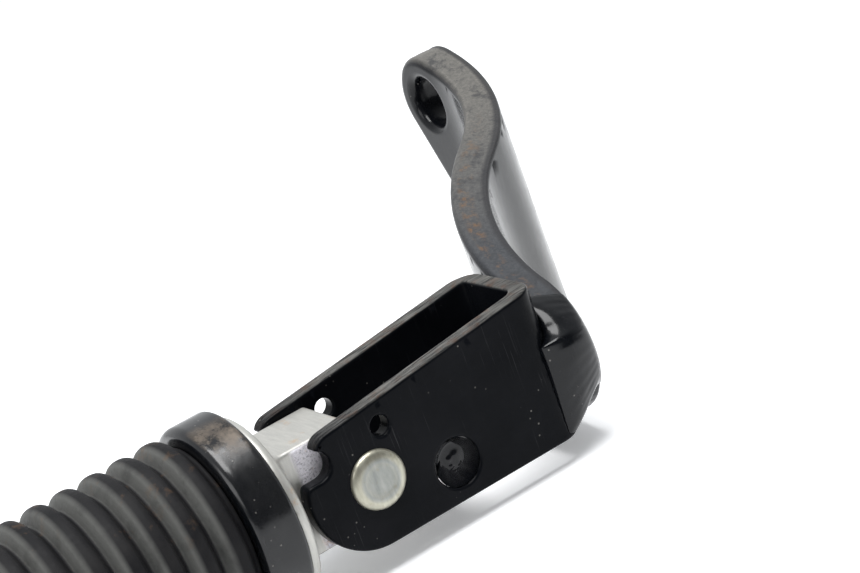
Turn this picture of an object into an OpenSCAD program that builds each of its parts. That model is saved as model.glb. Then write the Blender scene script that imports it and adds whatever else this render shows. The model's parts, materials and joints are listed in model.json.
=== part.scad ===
// Folding foot peg: a rubber-covered peg on a pivot pin in a bent-strip clevis,
// carried by a joggled plate arm with one bolt hole. Millimetres, +X outward along
// the peg, +Y along the pivot pin towards its head, +Z up.
// The origin is the centre of the arm's bolt hole, on the face that meets the frame.

/* [Clevis] */
// Thickness of the bent strip
strip_t = 4.3; // [3.6:0.1:4.8]
// Clear gap between the two walls
clevis_gap = 20.2; // [19.8:0.1:21]
// Distance from the pivot to the back of the web
clevis_back = 50; // [48:1:54]
// Outside radius of the two bends
bend_r = 6; // [5:0.5:8]
// Radius of the rounded wall nose around the pivot
nose_r = 14.7; // [14:0.1:15.5]
// Height of the wall's front corner above the pivot
front_top = 13.9; // [13:0.1:15]
// Rise of the walls' top edge towards the web, in degrees
top_rise = 6.5; // [6:0.5:9]
// Radius of the half-round notch in each wall
notch_r = 3.3; // [2.5:0.1:3.6]
// Radius of the small cross hole in each wall
cross_hole_r = 2.15; // [1.8:0.05:2.4]
// Radius of the plug-weld hole in each wall
plug_r = 5.4; // [5:0.1:6]

/* [Arm] */
// Thickness of the plate arm
arm_t = 9; // [8:0.5:10]
// Angle of the slanting middle of the joggle
joggle_angle = 50; // [40:1:52]
// Front-face radius of the bend behind the clevis
near_bend_r = 68; // [60:1:72]
// Front-face radius of the bend before the lug
far_bend_r = 40; // [36:1:44]
// Straight length between the two bends
joggle_run = 5; // [1:0.5:8]
// Radius of the rounded end behind the clevis
near_end_r = 17; // [16:0.5:18]
// Radius of the lug around the bolt hole
lug_r = 12; // [11.5:0.5:14]
// Radius of the bolt hole
bolt_hole_r = 6.5; // [5.5:0.1:6.6]

/* [Peg] */
// Width of the peg's tongue
tongue_w = 19; // [18:0.1:19]
// Height of the tongue's top above the pivot
tongue_top = 13.3; // [12.5:0.1:13.6]
// Depth of the tongue's underside below the pivot
tongue_bottom = 10.5; // [9.5:0.1:11]
// Height of the peg's axis above the pivot
axis_rise = 2.6; // [1.5:0.1:3.5]
// Distance from the pivot to the flange's inner face
flange_x = 19.5; // [19:0.1:21]
// Thickness of the flange
flange_t = 2.7; // [2:0.1:3.5]
// Radius of the flange
flange_r = 21; // [20:0.1:21.5]
// Distance of the flange's centre below the peg's axis
flange_drop = 0.9; // [0:0.1:1.2]
// Radius of the collar ring
collar_r = 22.6; // [22.2:0.1:24]
// Length of the collar ring
collar_len = 10; // [8:0.5:13]
// Radius over the rubber ribs
rib_r = 22.1; // [21:0.1:22.4]
// Depth of the valleys between the ribs
rib_depth = 3; // [2:0.1:3.5]
// Pitch of the ribs
rib_pitch = 6.86; // [6:0.02:8]
// Number of ribs
rib_count = 12; // [8:1:14]
// Radius of the spindle inside the rubber
spindle_r = 10; // [9:0.5:11]

/* [Pivot] */
// Radius of the pivot pin
pin_r = 4; // [3.5:0.1:4.2]
// Radius of the pin's head
pin_head_r = 6.5; // [6:0.1:7]
// Height of the pin's head
pin_head_h = 1.6; // [1.4:0.1:3]
// Wall of the bushes pressed into the tongue
bush_wall = 2; // [1.5:0.1:2.5]
// Radial clearance of the pin in its bushes
pin_play = 0.05; // [0.03:0.01:0.08]
// Radius of the stop pin
stop_r = 4.4; // [4:0.1:4.8]
// Distance of the stop pin behind the pivot
stop_back = 18.4; // [17.5:0.1:20]
// Distance of the stop pin below the pivot
stop_drop = 5.8; // [5:0.1:6.5]

/* [Hidden] */
$fn = 96;
eps = 0.01;
wall_in = clevis_gap / 2;
wall_out = wall_in + strip_t;
bottom = -nose_r + 0.3;
nose_c = [1.5, 0.3];
front_x = 11.2;
corner_r = 4;
corner_c = [front_x - corner_r, front_top + corner_r * (tan(top_rise) - 1 / cos(top_rise))];
notch_c = [11.7, 8.9];
cross_hole = [-4.8, 10.1];
top_back = front_top + (front_x + clevis_back) * tan(top_rise);
tall = 80;

// The arm's front face runs along the web, bends back, runs straight and bends parallel again.
arm_turn_y = 4;
arm_c1 = [-clevis_back - near_bend_r, arm_turn_y];
arm_mid_1 = arm_c1 + near_bend_r * [cos(joggle_angle), -sin(joggle_angle)];
arm_mid_2 = arm_mid_1 - joggle_run * [sin(joggle_angle), cos(joggle_angle)];
arm_c2 = arm_mid_2 + far_bend_r * [cos(joggle_angle), -sin(joggle_angle)];
lug_face = arm_c2[0] - far_bend_r;
near_end = [-4, 0.7];
lug = [-88, 37.8];
low_corner = [-70, -6];
low_corner_r = 10;

// The mounting face of the lug, seen from the pivot.
mount_at = [lug_face - arm_t, lug[0], lug[1]];

heel_gap = 0.2;
heel_x = -stop_back + stop_r + heel_gap;
heel_r = 8.6;
heel_top = -1.5;
bush_r = pin_r + pin_play + bush_wall;
bush_gap = 1.5;
wall_play = 0.02;
washer_t = 0.5;
washer_r = 8;
washer_play = 0.2;
stop_half = wall_in + strip_t / 2;
pin_washer_t = 1.6;
pin_tail = 6;
split_y = -wall_out - pin_washer_t - 2.2;
split_r = 1;
split_play = 0.1;
split_len = 15;
eye_x = -11;
eye_r = 2;
leg_x = 5.5;
leg_len = 5;
leg_r = 0.8;
leg_leans = [35, 145];
weld_cap = 0.5;
weld_inset = 0.3;
drop_ring = 2.9;
drop_r = 1.3;
drop_turns = [20, 140, 260];
near_bead_r = 4.6;
near_bead_start = 75;
near_bead_sweep = 100;
far_bead_r = 3.6;
far_bead_low = -11;
far_bead_len = 27;

collar_x = flange_x + flange_t;
rubber_x = collar_x + collar_len;
rubber_end = rubber_x + rib_count * rib_pitch;
boss_r = 12;
spindle_gap = 0.2;
end_washer_r = 17;
end_washer_t = 2.5;
lock_washer_t = 2;
lock_washer_r = 7.2;
lock_slit = 1.2;
end_play = 0.3;
bolt_r = 4;
bolt_play = 0.05;
bolt_head_h = 5.3;
bolt_head_r = 7.5;
bolt_shank = 34;

// Moves a shape drawn around the pivot to its place in the part's own frame.
module from_pivot() {
    translate(-mount_at) children();
}

// Draws a side-view outline (x right, z up) as a slab between two y values.
module side_slab(y_low, y_high) {
    translate([0, y_high, 0]) rotate([90, 0, 0]) linear_extrude(y_high - y_low) children();
}

// A cylinder along Y between two y values, at a place given as [x, z].
module rod_y(at, r, y_low, y_high) {
    translate([at[0], y_high, at[1]]) rotate([90, 0, 0]) cylinder(h = y_high - y_low, r = r);
}

// A solid of revolution around the peg's axis; the outline is drawn as [along X, radius].
module around_axis() {
    translate([0, 0, axis_rise]) rotate([0, 90, 0]) rotate([0, 0, 90]) rotate_extrude()
        rotate([0, 0, 90]) mirror([0, 1]) children();
}

// A plain tube around the peg's axis.
module tube_x(x, length, r_out, r_in) {
    translate([x, 0, axis_rise]) rotate([0, 90, 0]) difference() {
        cylinder(h = length, r = r_out);
        translate([0, 0, -1]) cylinder(h = length + 2, r = r_in);
    }
}

module wall_outline() {
    difference() {
        union() {
            translate(nose_c) circle(nose_r);
            polygon(concat([[front_x, 0]], arc(corner_c, corner_r, 0, 90 - top_rise),
                           [[-clevis_back, top_back], [-clevis_back, bottom],
                            [nose_c[0], bottom], nose_c]));
        }
        translate(notch_c) circle(notch_r);
        translate([front_x, notch_c[1] - notch_r]) square(20);
        translate(cross_hole) circle(cross_hole_r);
        translate([-stop_back, -stop_drop]) circle(plug_r);
        circle(pin_r + wall_play);
    }
}

// The strip's path seen from above: two walls and a web joined by two round bends.
module strip_plan() {
    difference() {
        union() {
            translate([-clevis_back + bend_r, -wall_out]) square([clevis_back + 30, 2 * wall_out]);
            translate([-clevis_back, -wall_out + bend_r]) square([bend_r + 1, 2 * (wall_out - bend_r)]);
            for (side = [-1, 1])
                translate([-clevis_back + bend_r, side * (wall_out - bend_r)]) circle(bend_r);
        }
        inner_r = bend_r - strip_t;
        translate([-clevis_back + strip_t + inner_r, -wall_in]) square([clevis_back + 30, 2 * wall_in]);
        translate([-clevis_back + strip_t, -wall_in + inner_r])
            square([inner_r + 1, 2 * (wall_in - inner_r)]);
        for (side = [-1, 1])
            translate([-clevis_back + bend_r, side * (wall_in - inner_r)]) circle(inner_r);
    }
}

module clevis_solid() {
    intersection() {
        translate([0, 0, -tall / 2]) linear_extrude(tall) strip_plan();
        side_slab(-wall_out - 1, wall_out + 1) wall_outline();
    }
}

// Points along an arc from one angle to another.
function arc(centre, r, from, to, steps = 20) =
    [for (i = [0:steps]) let (a = from + (to - from) * i / steps) centre + r * [cos(a), sin(a)]];

// The plate arm's face seen from above, at a depth behind its front face.
function arm_face(depth) = concat(
    [[-clevis_back - depth, arm_turn_y + 30]],
    arc(arm_c1, near_bend_r - depth, 0, -joggle_angle),
    arc(arm_c2, far_bend_r + depth, 180 - joggle_angle, 180),
    [[lug_face - depth, arm_c2[1] - 40]]);

module arm_plan() {
    back = arm_face(arm_t);
    polygon(concat(arm_face(0), [for (i = [len(back) - 1:-1:0]) back[i]]));
}

// Direction square to the outside tangent from round a to round b (each [centre, radius]).
function tangent_angle(a, b) =
    let (d = b[0] - a[0]) atan2(d[1], d[0]) - acos((a[1] - b[1]) / norm(d));

arm_rounds = [[near_end, near_end_r], [lug, lug_r], [low_corner, low_corner_r]];

// The plate's outline, looking along -X: three round corners joined by their tangents.
module arm_outline() {
    polygon([for (i = [0:2])
        let (this = arm_rounds[i], last = arm_rounds[(i + 2) % 3], next = arm_rounds[(i + 1) % 3],
             start = tangent_angle(last, this), stop = tangent_angle(this, next),
             turn = stop < start ? stop + 360 : stop)
        each arc(this[0], this[1], start, turn, 16)]);
}

// Draws an outline given as [y, z] as a slab between two x values.
module front_slab(x_low, x_high) {
    translate([x_low, 0, 0]) rotate([90, 0, 90]) linear_extrude(x_high - x_low) children();
}

module arm_solid() {
    difference() {
        intersection() {
            translate([0, 0, -tall / 2]) linear_extrude(2 * tall) arm_plan();
            front_slab(lug_face - 20, -clevis_back + 5) arm_outline();
        }
        translate([lug_face - arm_t - 1, lug[0], lug[1]]) rotate([0, 90, 0])
            cylinder(h = arm_t + 2, r = bolt_hole_r);
    }
}

module arm_plate() {
    color("dimgray") from_pivot() arm_solid();
}

module clevis() {
    color([0.08, 0.08, 0.09]) from_pivot() clevis_solid();
}

// The fillet weld round the arm's rounded end, against the clevis's near bend.
module weld_bead_near() {
    color([0.1, 0.1, 0.11]) from_pivot() difference() {
        translate([-clevis_back - 1, near_end[0], near_end[1]])
            rotate([0, 90, 0]) rotate([0, 0, near_bead_start]) rotate_extrude(angle = near_bead_sweep)
                translate([near_end_r - 1, 0]) circle(near_bead_r, $fn = 32);
        clevis_solid();
        arm_solid();
    }
}

// The upright fillet weld at the clevis's far bend.
module weld_bead_far() {
    color([0.1, 0.1, 0.11]) from_pivot() difference() {
        translate([-clevis_back - 0.5, -wall_out + 1, far_bead_low])
            cylinder(h = far_bead_len, r = far_bead_r, $fn = 32);
        clevis_solid();
        arm_solid();
    }
}

module stop_pin() {
    color("dimgray") from_pivot() rod_y([-stop_back, -stop_drop], stop_r, -stop_half, stop_half);
}

// The weld metal that plugs one wall's hole around the stop pin, with three solidified drops.
module stop_weld(side) {
    color([0.12, 0.12, 0.13]) from_pivot() mirror([0, side, 0]) difference() {
        union() {
            rod_y([-stop_back, -stop_drop], plug_r - eps, wall_in + weld_inset, stop_half + weld_cap);
            for (turn = drop_turns)
                translate([-stop_back + drop_ring * cos(turn), stop_half + weld_cap,
                           -stop_drop + drop_ring * sin(turn)]) sphere(drop_r, $fn = 32);
        }
        rod_y([-stop_back, -stop_drop], stop_r, wall_in - 1, stop_half);
    }
}

module stop_weld_near() {
    stop_weld(0);
}

module stop_weld_far() {
    stop_weld(1);
}

module pivot_pin() {
    edge = 0.45 * pin_head_h;
    color("lightgray") from_pivot() difference() {
        union() {
            rod_y([0, 0], pin_r, split_y - pin_tail / 2, wall_out + eps);
            translate([0, wall_out, 0]) rotate([-90, 0, 0]) rotate_extrude() union() {
                square([pin_head_r, pin_head_h - edge]);
                square([pin_head_r - edge, pin_head_h]);
                translate([pin_head_r - edge, pin_head_h - edge]) circle(edge, $fn = 32);
            }
        }
        translate([-10, split_y, 0]) rotate([0, 90, 0]) cylinder(h = 20, r = split_r + split_play);
    }
}

module pin_washer() {
    color("silver") from_pivot() difference() {
        rod_y([0, 0], washer_r, -wall_out - pin_washer_t, -wall_out);
        rod_y([0, 0], pin_r + washer_play, -wall_out - 3, -wall_out + 1);
    }
}

// A split pin: an eye, a straight shank and two legs bent apart.
module split_pin() {
    color("silver") from_pivot() translate([0, split_y, 0]) union() {
        translate([eye_x + eye_r, 0, 0]) rotate([0, 90, 0])
            cylinder(h = split_len, r = split_r, $fn = 32);
        translate([eye_x, 0, 0]) rotate([90, 0, 0]) rotate_extrude() translate([eye_r, 0])
            circle(split_r, $fn = 32);
        for (lean = leg_leans)
            translate([leg_x, 0, 0]) rotate([0, lean, 0]) cylinder(h = leg_len, r = leg_r, $fn = 32);
    }
}

module friction_washer(side) {
    y_low = side > 0 ? wall_in - washer_t : -wall_in;
    color("silver") from_pivot() difference() {
        rod_y([0, 0], washer_r, y_low, y_low + washer_t);
        rod_y([0, 0], pin_r + washer_play, y_low - 1, y_low + washer_t + 1);
    }
}

module friction_washer_near() {
    friction_washer(1);
}

module friction_washer_far() {
    friction_washer(-1);
}

// Side view of the tongue: a block with a rounded back above its heel.
module tongue_outline() {
    difference() {
        union() {
            circle(heel_r);
            translate([0, -tongue_bottom]) square([flange_x + 1, tongue_bottom + tongue_top]);
            translate([heel_x, -tongue_bottom])
                square([-heel_x + 1, tongue_bottom + heel_top]);
        }
        circle(bush_r);
    }
}

module peg_core() {
    color("gainsboro") from_pivot() difference() {
        union() {
            side_slab(-tongue_w / 2, tongue_w / 2) tongue_outline();
            translate([flange_x, 0, axis_rise - flange_drop]) rotate([0, 90, 0])
                cylinder(h = flange_t, r = flange_r);
            translate([flange_x, 0, axis_rise]) rotate([0, 90, 0]) union() {
                cylinder(h = flange_t + collar_len, r = boss_r);
                cylinder(h = rubber_end - flange_x - spindle_gap, r = spindle_r);
            }
        }
        translate([rubber_end - bolt_shank - 2, 0, axis_rise]) rotate([0, 90, 0])
            cylinder(h = bolt_shank + 4, r = bolt_r + bolt_play);
    }
}

// One of the two bushes pressed into the tongue, one from each side.
module pivot_bush(side) {
    y_low = side > 0 ? bush_gap / 2 : -tongue_w / 2;
    length = (tongue_w - bush_gap) / 2;
    color("peru") from_pivot() difference() {
        rod_y([0, 0], bush_r, y_low, y_low + length);
        rod_y([0, 0], pin_r + pin_play, y_low - 1, y_low + length + 1);
    }
}

module pivot_bush_near() {
    pivot_bush(1);
}

module pivot_bush_far() {
    pivot_bush(-1);
}

module collar_ring() {
    edge = 1.5;
    color([0.08, 0.08, 0.09]) from_pivot() around_axis() difference() {
        union() {
            translate([collar_x + edge, boss_r]) square([collar_len - edge - 1, collar_r - boss_r]);
            translate([collar_x, boss_r]) square([collar_len, collar_r - boss_r - edge]);
            translate([collar_x + edge, collar_r - edge]) circle(edge, $fn = 48);
            translate([collar_x + collar_len - 1 - eps, collar_r - 2]) polygon([[0, 0], [1, 0], [0, 2]]);
        }
    }
}

// One rib runs from valley to valley: sloping flanks, rounded shoulders and a flat crest.
module rubber_grip() {
    shape = [[0, 0], [0.06, 0], [0.16, 0.45], [0.23, 0.8], [0.29, 0.95], [0.36, 1],
             [0.64, 1], [0.71, 0.95], [0.77, 0.8], [0.84, 0.45], [0.94, 0]];
    root = rib_r - rib_depth;
    color([0.13, 0.12, 0.12]) from_pivot() around_axis() polygon(concat(
        [[rubber_x, spindle_r]],
        [for (i = [0:rib_count - 1], p = shape)
            [rubber_x + (i + p[0]) * rib_pitch, root + p[1] * rib_depth]],
        [[rubber_end, root], [rubber_end, spindle_r]]));
}

module end_washer() {
    color("silver") from_pivot() tube_x(rubber_end, end_washer_t, end_washer_r, bolt_r + end_play);
}

module lock_washer() {
    x = rubber_end + end_washer_t;
    color("silver") from_pivot() difference() {
        tube_x(x, lock_washer_t, lock_washer_r, bolt_r + end_play);
        translate([x - 1, -lock_slit / 2, axis_rise]) cube([lock_washer_t + 2, lock_slit, 10]);
    }
}

module end_bolt() {
    head_x = rubber_end + end_washer_t + lock_washer_t;
    color("silver") from_pivot() translate([head_x, 0, axis_rise]) rotate([0, 90, 0]) union() {
        cylinder(h = bolt_head_h, r = bolt_head_r, $fn = 6);
        translate([0, 0, -bolt_shank]) cylinder(h = bolt_shank + 1, r = bolt_r);
    }
}

arm_plate();
clevis();
weld_bead_near();
weld_bead_far();
stop_pin();
stop_weld_near();
stop_weld_far();
pivot_pin();
pin_washer();
split_pin();
friction_washer_near();
friction_washer_far();
peg_core();
pivot_bush_near();
pivot_bush_far();
collar_ring();
rubber_grip();
end_washer();
lock_washer();
end_bolt();
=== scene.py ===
"""Looks of the folding foot peg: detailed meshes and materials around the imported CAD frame.

Lengths named in millimetres are measured from the pivot pin's centre, with +X outward along
the peg, +Y along the pin towards its head and +Z up, as in the CAD design.
"""
import json
import math

import bmesh
import bpy
import numpy as np
from mathutils import Euler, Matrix, Vector, geometry, noise


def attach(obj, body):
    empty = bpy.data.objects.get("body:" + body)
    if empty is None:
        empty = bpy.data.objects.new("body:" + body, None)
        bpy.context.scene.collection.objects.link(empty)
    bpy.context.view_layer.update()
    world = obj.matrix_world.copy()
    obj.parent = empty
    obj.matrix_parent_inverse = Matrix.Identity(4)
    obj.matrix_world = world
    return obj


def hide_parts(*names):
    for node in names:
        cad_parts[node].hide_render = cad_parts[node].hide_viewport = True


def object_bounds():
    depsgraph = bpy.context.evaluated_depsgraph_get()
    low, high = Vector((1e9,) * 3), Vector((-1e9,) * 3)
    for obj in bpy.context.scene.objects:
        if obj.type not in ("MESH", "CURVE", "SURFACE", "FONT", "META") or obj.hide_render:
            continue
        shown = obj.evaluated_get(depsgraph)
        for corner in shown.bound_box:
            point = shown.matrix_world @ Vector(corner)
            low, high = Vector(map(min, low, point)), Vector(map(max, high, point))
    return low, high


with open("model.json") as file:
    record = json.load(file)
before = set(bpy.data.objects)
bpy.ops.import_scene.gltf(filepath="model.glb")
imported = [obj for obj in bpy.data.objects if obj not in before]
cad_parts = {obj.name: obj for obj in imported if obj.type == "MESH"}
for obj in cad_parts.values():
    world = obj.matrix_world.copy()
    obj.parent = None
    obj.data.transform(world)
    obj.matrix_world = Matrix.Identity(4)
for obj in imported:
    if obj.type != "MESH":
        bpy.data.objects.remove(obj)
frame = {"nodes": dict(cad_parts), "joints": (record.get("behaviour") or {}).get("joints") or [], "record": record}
cad_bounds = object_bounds()

MM = 0.001
PIVOT = Vector(frame["joints"][0]["pos_m"])
SEED = 7

# Sizes that the CAD design also holds, in millimetres.
STRIP_T = 4.3
WALL_OUT = 14.4
CLEVIS_BACK = 50.0
BEND_R = 6.0
NOSE_R = 14.7
NOSE_C = (1.5, 0.3)
FRONT_X = 11.2
FRONT_TOP = 13.9
TOP_RISE = math.radians(6.5)
CORNER_R = 4.0
NOTCH_C = (11.7, 8.9)
NOTCH_R = 3.3
CROSS_HOLE = (-4.8, 10.1)
CROSS_R = 2.15
STOP_C = (-18.4, -5.8)
STOP_R = 4.4
PLUG_R = 5.4
PIN_R = 4.02
ARM_T = 9.0
NEAR_BEND_R = 68.0
FAR_BEND_R = 40.0
JOGGLE = math.radians(50)
JOGGLE_RUN = 5.0
ARM_TURN_Y = 4.0
BOLT_R = 6.5
AXIS_RISE = 2.6
FLANGE_X = 19.5
FLANGE_T = 2.7
FLANGE_R = 21.0
FLANGE_DROP = 0.9
COLLAR_R = 22.6
COLLAR_LEN = 10.0
BOSS_R = 12.0
RIB_R = 22.1
RIB_DEPTH = 3.0
RIB_PITCH = 6.86
RIB_COUNT = 12
SPINDLE_R = 10.0
TONGUE_W = 19.0
TONGUE_TOP = 13.3
TONGUE_BOTTOM = 10.5
HEEL_X = -13.8
HEEL_R = 8.6
HEEL_TOP = -1.5
BUSH_R = 6.05
BUSH_GAP = 1.5
COLLAR_X = FLANGE_X + FLANGE_T
RUBBER_X = COLLAR_X + COLLAR_LEN
RUBBER_END = RUBBER_X + RIB_COUNT * RIB_PITCH
RIB_GAP = 0.9
NEAR_END = (-4.0, 0.7)
NEAR_END_R = 17.0
LUG_C = (-88.0, 37.8)
LUG_R = 12.0
FOOT_C = (-70.0, -6.0)
FOOT_R = 10.0
PIN_HEAD_R = 6.5
PIN_HEAD_H = 1.6
PIN_SHANK_R = 3.98
WASHER_BORE_R = 4.2
WASHER_R = 8.0
PIN_WASHER_T = 1.6
FRICTION_WASHER_T = 0.5
SPLIT_Y = -WALL_OUT - 3.8
SPLIT_WIRE_R = 0.52
CORE_BORE_R = 4.05
BUSH_BORE_R = 4.05
END_WASHER_BORE_R = 4.3
END_WASHER_R = 17.0
END_WASHER_T = 2.5
LOCK_BORE_R = 4.35
LOCK_R = 7.2
LOCK_WASHER_T = 2.0
BOLT_SHANK_R = 4.0
BOLT_HEAD_H = 5.3
BOLT_AF = 13.0


# ---- outlines in two dimensions

def arc(centre, radius, start, stop, step=0.6):
    """Points along an arc, angles in degrees, about step millimetres apart."""
    count = max(3, int(abs(math.radians(stop - start)) * radius / step))
    turns = [math.radians(start + (stop - start) * i / count) for i in range(count + 1)]
    return [(centre[0] + radius * math.cos(t), centre[1] + radius * math.sin(t)) for t in turns]


def line(a, b, step=0.8):
    """Points from a to b, about step millimetres apart, both ends included."""
    count = max(1, int(math.dist(a, b) / step))
    return [(a[0] + (b[0] - a[0]) * i / count, a[1] + (b[1] - a[1]) * i / count)
            for i in range(count + 1)]


def loop(*runs):
    """Joins runs of points into one closed outline without doubled points."""
    points = []
    for run in runs:
        for p in run:
            if not points or math.dist(p, points[-1]) > 0.05:
                points.append(p)
    if math.dist(points[0], points[-1]) < 0.05:
        points.pop()
    return points


def soften(points, passes):
    """Rounds an outline's corners by averaging each point with its neighbours."""
    p = np.array(points)
    for _ in range(passes):
        p = (np.roll(p, 1, 0) + 2 * p + np.roll(p, -1, 0)) / 4
    return [tuple(q) for q in p]


def inset(points, distance, area_sign):
    """Moves an outline towards its material; area_sign is 1 for an outer loop, -1 for a hole."""
    p = np.array(points)
    tangent = np.roll(p, -1, 0) - np.roll(p, 1, 0)
    tangent /= np.maximum(np.linalg.norm(tangent, axis=1, keepdims=True), 1e-9)
    x, y = p[:, 0], p[:, 1]
    area = 0.5 * np.sum(x * np.roll(y, -1) - np.roll(x, -1) * y)
    inward = np.stack([-tangent[:, 1], tangent[:, 0]], 1) * np.sign(area) * area_sign
    return p + inward * distance


def inside(points, loops):
    """Even-odd test of many points against several loops."""
    points = np.asarray(points)
    hit = np.zeros(len(points), bool)
    for ring in loops:
        a, b = np.asarray(ring), np.roll(np.asarray(ring), -1, 0)
        for (x0, y0), (x1, y1) in zip(a, b):
            if y0 == y1:
                continue
            crosses = (points[:, 1] < y0) != (points[:, 1] < y1)
            at = x0 + (points[:, 1] - y0) * (x1 - x0) / (y1 - y0)
            hit ^= crosses & (points[:, 0] < at)
    return hit


# ---- mesh makers

def new_object(name, data):
    """Puts a new object in the scene."""
    thing = bpy.data.objects.new(name, data)
    bpy.context.scene.collection.objects.link(thing)
    return thing


class Shape:
    """Collects vertices in millimetres from the pivot, faces, and two values per vertex: wear, up
    to 1 on a rubbed edge, and depth, 0 at a plate's front and 1 at its back."""

    def __init__(self):
        self.points, self.faces, self.wear, self.depth = [], [], [], []

    def add(self, points, wear=0.0, depth=0.0):
        """Adds a row of vertices and returns their numbers."""
        first = len(self.points)
        self.points.extend(tuple(p) for p in points)
        self.wear.extend([wear] * len(points))
        self.depth.extend([depth] * len(points))
        return list(range(first, len(self.points)))

    def join(self, rings):
        """Joins each ring of vertices to the next with quads."""
        for a, b in zip(rings, rings[1:]):
            for i in range(len(a)):
                j = (i + 1) % len(a)
                self.faces.append((a[i], a[j], b[j], b[i]))

    def skin(self, rings):
        """Joins the rings and closes the first and the last."""
        self.join(rings)
        self.faces += [tuple(rings[0]), tuple(rings[-1])]

    def object(self, name, material):
        mesh = bpy.data.meshes.new(name)
        mesh.from_pydata([Vector(p) * MM + PIVOT for p in self.points], [], self.faces)
        for label, values in (("wear", self.wear), ("depth", self.depth)):
            attribute = mesh.attributes.new(label, "FLOAT", "POINT")
            attribute.data.foreach_set("value", np.array(values, np.float32))
        made = bmesh.new()
        made.from_mesh(mesh)
        bmesh.ops.remove_doubles(made, verts=made.verts, dist=1e-6)
        bmesh.ops.recalc_face_normals(made, faces=made.faces)
        made.to_mesh(mesh)
        made.free()
        mesh.shade_smooth()
        mesh.materials.append(material)
        return new_object(name, mesh)

    def piece(self, name, body, slot, *nodes):
        """Makes the mesh object in its slot's material and finishes it."""
        finish_piece(self.object(name, MATERIALS[slot]), body, slot, *nodes)


def lathe(shape, profile, place, segments=160, closed=True, jitter=None):
    """Turns a profile of (along, radius) pairs about an axis; place maps (along, side, up). A
    closed profile makes a ring, and an open one a bar with flat ends."""
    rings = []
    for along, radius in profile:
        ring = []
        for k in range(segments):
            turn = 2 * math.pi * k / segments
            r = radius + (jitter(along, radius, turn) if jitter else 0)
            ring.append(place(along, r * math.cos(turn), r * math.sin(turn)))
        rings.append(shape.add(ring))
    if closed:
        shape.join(rings + rings[:1])
    else:
        shape.skin(rings)


def on_peg(along, side, up):
    """A point about the peg's own axis."""
    return (along, side, AXIS_RISE + up)


EDGE_STEPS = 4
SUPPORT_GAP = 0.3
# Hole walls take little wear and stay black: paint in the bores, and also painted shade inside them.
HOLE_WEAR_AND_SHADE = 0.15


def edge_steps(radius, support):
    """The rows of a rounded edge, as (inset, depth, wear), from the flat face to the rim."""
    rows = [(radius + SUPPORT_GAP, 0.0, 0.0)] if support else []
    for k in range(EDGE_STEPS + 1):
        a = math.pi / 2 * k / EDGE_STEPS
        rows.append((radius * (1 - math.sin(a)), radius * (1 - math.cos(a)), k / EDGE_STEPS))
    return rows


def plate(shape, outline, holes, place, fillets, grid=2.2, levels=6, rough=None):
    """A plate with rounded edges. place(u, v, w) gives the point at depth share w, 0 at the front
    and 1 at the back; its attribute "thick" gives the local thickness in millimetres at (u, v).
    fillets are the edge radii at the front and at the back, grid is the width of the flat faces'
    triangles, levels is the count of steps through the rim, and rough moves the rim's points."""
    caps = ([], [])
    for ring, sign in [(outline, 1)] + [(h, -1) for h in holes]:
        front, back = (edge_steps(radius, bool(rough)) for radius in fillets)
        rows = [(inset(ring, move, sign), depth, 0, wear) for move, depth, wear in front]
        rows += [(np.array(ring), None, m / levels, 1.0) for m in range(1, levels)]
        rows += [(inset(ring, move, sign), depth, 1, wear) for move, depth, wear in back[::-1]]
        made = []
        for uv, depth, side, wear in rows:
            points = []
            for u, v in uv:
                thick = place.thick(u, v)
                if depth is None:
                    share = [radius / thick for radius in fillets]
                    w = share[0] + (1 - share[0] - share[1]) * side
                    points.append(rough(u, v, w, place) if rough else place(u, v, w))
                else:
                    d = depth / thick
                    points.append(place(u, v, d if side == 0 else 1 - d))
            # A hole's wall keeps its black paint, which also serves as painted shade in the bore.
            made.append(shape.add(points, wear if sign > 0 else HOLE_WEAR_AND_SHADE * wear, float(side)))
        shape.join(made)
        for side, end in ((0, 0), (1, -1)):
            caps[side].append((rows[end][0], made[end]))
    for side in (0, 1):
        fill_face(shape, caps[side], place, side, grid)


def fill_face(shape, loops, place, side, grid):
    """Fills a plate's face with triangles; loops holds each edge's points and vertex numbers."""
    rings = [ring for ring, _ in loops]
    rim = np.array([tuple(p) for ring in rings for p in ring])
    ids = [i for _, numbers in loops for i in numbers]
    edges, start = [], 0
    for ring in rings:
        n = len(ring)
        edges += [(start + i, start + (i + 1) % n) for i in range(n)]
        start += n
    us = np.arange(rim[:, 0].min(), rim[:, 0].max(), grid)
    vs = np.arange(rim[:, 1].min(), rim[:, 1].max(), grid)
    inner = np.array([(u + (grid / 2 if j % 2 else 0), v) for j, v in enumerate(vs) for u in us])
    gap = np.array([np.min(np.hypot(*(rim - p).T)) for p in inner])
    inner = inner[inside(inner, rings) & (gap > grid * 0.5)]
    ids += shape.add([place(u, v, side) for u, v in inner], 0.0, float(side))
    coords = [Vector(p) for p in rim] + [Vector(p) for p in inner]
    corners, _, triangles, origin = geometry.delaunay_2d_cdt(coords, edges, [], 0, 1e-5)[:4]
    vertex = [ids[o[0]] if o else shape.add([place(*c, side)], 0.0, float(side))[0]
              for c, o in zip(corners, origin)]
    middle = np.array([np.mean([corners[i] for i in t], 0) for t in triangles])
    for t, good in zip(triangles, inside(middle, rings)):
        if good:
            shape.faces.append(tuple(vertex[i] for i in t))


def finish_piece(thing, body, slot, *nodes):
    """Makes a piece ride on its body and stand for its CAD nodes; slot is not used."""
    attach(thing, body)
    if nodes:
        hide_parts(*nodes)


# ---- materials

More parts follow.
